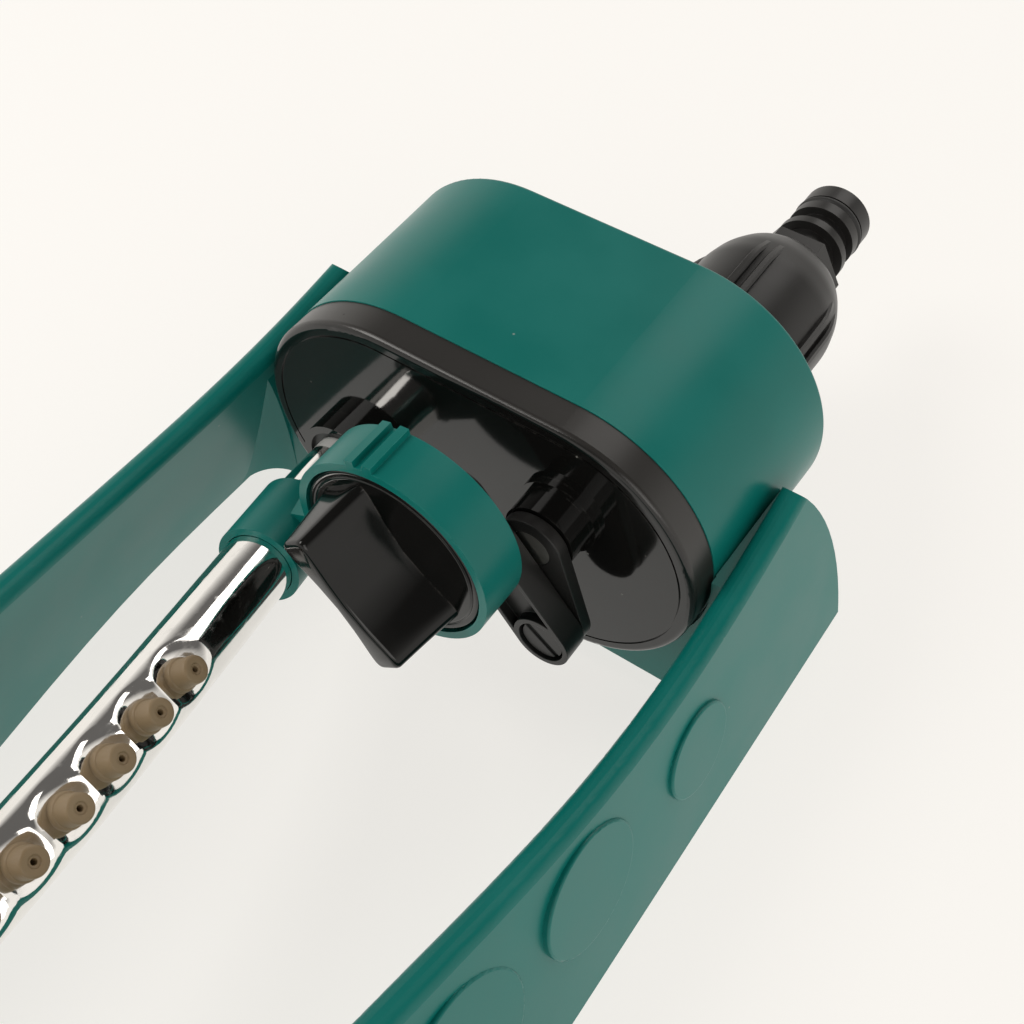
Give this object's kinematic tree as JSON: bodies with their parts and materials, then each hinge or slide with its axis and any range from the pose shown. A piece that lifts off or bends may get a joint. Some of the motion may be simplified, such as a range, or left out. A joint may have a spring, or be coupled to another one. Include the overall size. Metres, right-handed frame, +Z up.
{
  "type": "oscillating lawn sprinkler",
  "caption": "Oscillating lawn sprinkler: a bent spray tube with rubber jets, swung by a water motor through a crank and link, on a moulded sled frame.",
  "frame": {"origin": "on the ground, at the middle of the whole outline seen from above", "axes": "+Z up; +Y along the spray tube towards the hose inlet; +X along the motor housing, to the right seen from the tube's end"},
  "size_m": [0.1324, 0.446, 0.0728],
  "materials": {
    "teal_plastic": "satin moulded polypropylene",
    "gloss_black": "glossy moulded",
    "satin_black": "satin moulded",
    "black_rubber": "matte",
    "tan_rubber": "matte moulded",
    "pale_plastic": "natural acetal",
    "gear_plastic": "natural acetal",
    "polished_aluminium": "polished",
    "zinc_steel": "zinc plated"
  },
  "bodies": {
    "base": {"base_frame": "teal_plastic", "foot_screws": "zinc_steel", "housing_shell": "teal_plastic", "front_cover": "gloss_black", "cover_seal": "black_rubber", "housing_screws": "zinc_steel", "outlet_bush": "satin_black", "outlet_seal": "black_rubber", "crank_seal": "black_rubber", "inlet_washer": "black_rubber", "inlet_filter": "pale_plastic", "hose_adapter": "satin_black", "adapter_o_ring": "black_rubber", "idler_pin": "zinc_steel", "gear_plate": "satin_black", "end_bush": "pale_plastic"},
    "tube": {"spray_tube": "polished_aluminium", "nozzles": "tan_rubber", "tube_nipple": "pale_plastic", "end_journal": "satin_black", "drain_plug": "satin_black", "dial_holder": "teal_plastic"},
    "dial": {"control_dial": "gloss_black"},
    "crank": {"output_shaft": "zinc_steel", "output_gear": "gear_plastic", "crank_arm": "satin_black", "link_screw": "satin_black"},
    "link": {"link_arm": "satin_black"},
    "idler": {"idler_gear": "gear_plastic"},
    "turbine": {"turbine_wheel": "gear_plastic", "turbine_shaft": "zinc_steel", "turbine_pinion": "gear_plastic"},
    "nut": {"inlet_nut": "satin_black"}
  },
  "joints": [
    {"name": "tube_swing", "type": "hinge", "parent": "base", "child": "tube", "pos_m": [-0.0276, 0.111, 0.03155], "axis": [0, -1, 0], "range_deg": [-3, 50]},
    {"name": "dial_turn", "type": "hinge", "parent": "tube", "child": "dial", "pos_m": [0.0033, 0.0835, 0.05125], "axis": [0, -1, 0], "range_deg": [-135, 135]},
    {"name": "crank_turn", "type": "hinge", "parent": "base", "child": "crank", "pos_m": [0.021, 0.102, 0.047], "axis": [0, -1, 0], "range_deg": [-142, 10]},
    {"name": "link_turn", "type": "hinge", "parent": "crank", "child": "link", "pos_m": [0.02763, 0.098, 0.02937], "axis": [0, -1, 0], "range_deg": [-11, 162]},
    {"name": "idler_turn", "type": "hinge", "parent": "base", "child": "idler", "pos_m": [0.00446, 0.125, 0.04408], "axis": [0, -1, 0], "range_deg": [-27, 424]},
    {"name": "turbine_turn", "type": "hinge", "parent": "base", "child": "turbine", "pos_m": [-0.01009, 0.145, 0.03568], "axis": [0, -1, 0], "range_deg": [-1265, 80]},
    {"name": "nut_turn", "type": "hinge", "parent": "base", "child": "nut", "pos_m": [0.0235, 0.176, 0.04], "axis": [0, 1, 0], "continuous": true}
  ],
  "couplings": [
    {"joint": "crank_turn", "follows": "tube_swing", "ratio": -2.804},
    {"joint": "link_turn", "follows": "tube_swing", "ratio": 3.208},
    {"joint": "idler_turn", "follows": "tube_swing", "ratio": 8.412},
    {"joint": "turbine_turn", "follows": "tube_swing", "ratio": -25.236}
  ]
}
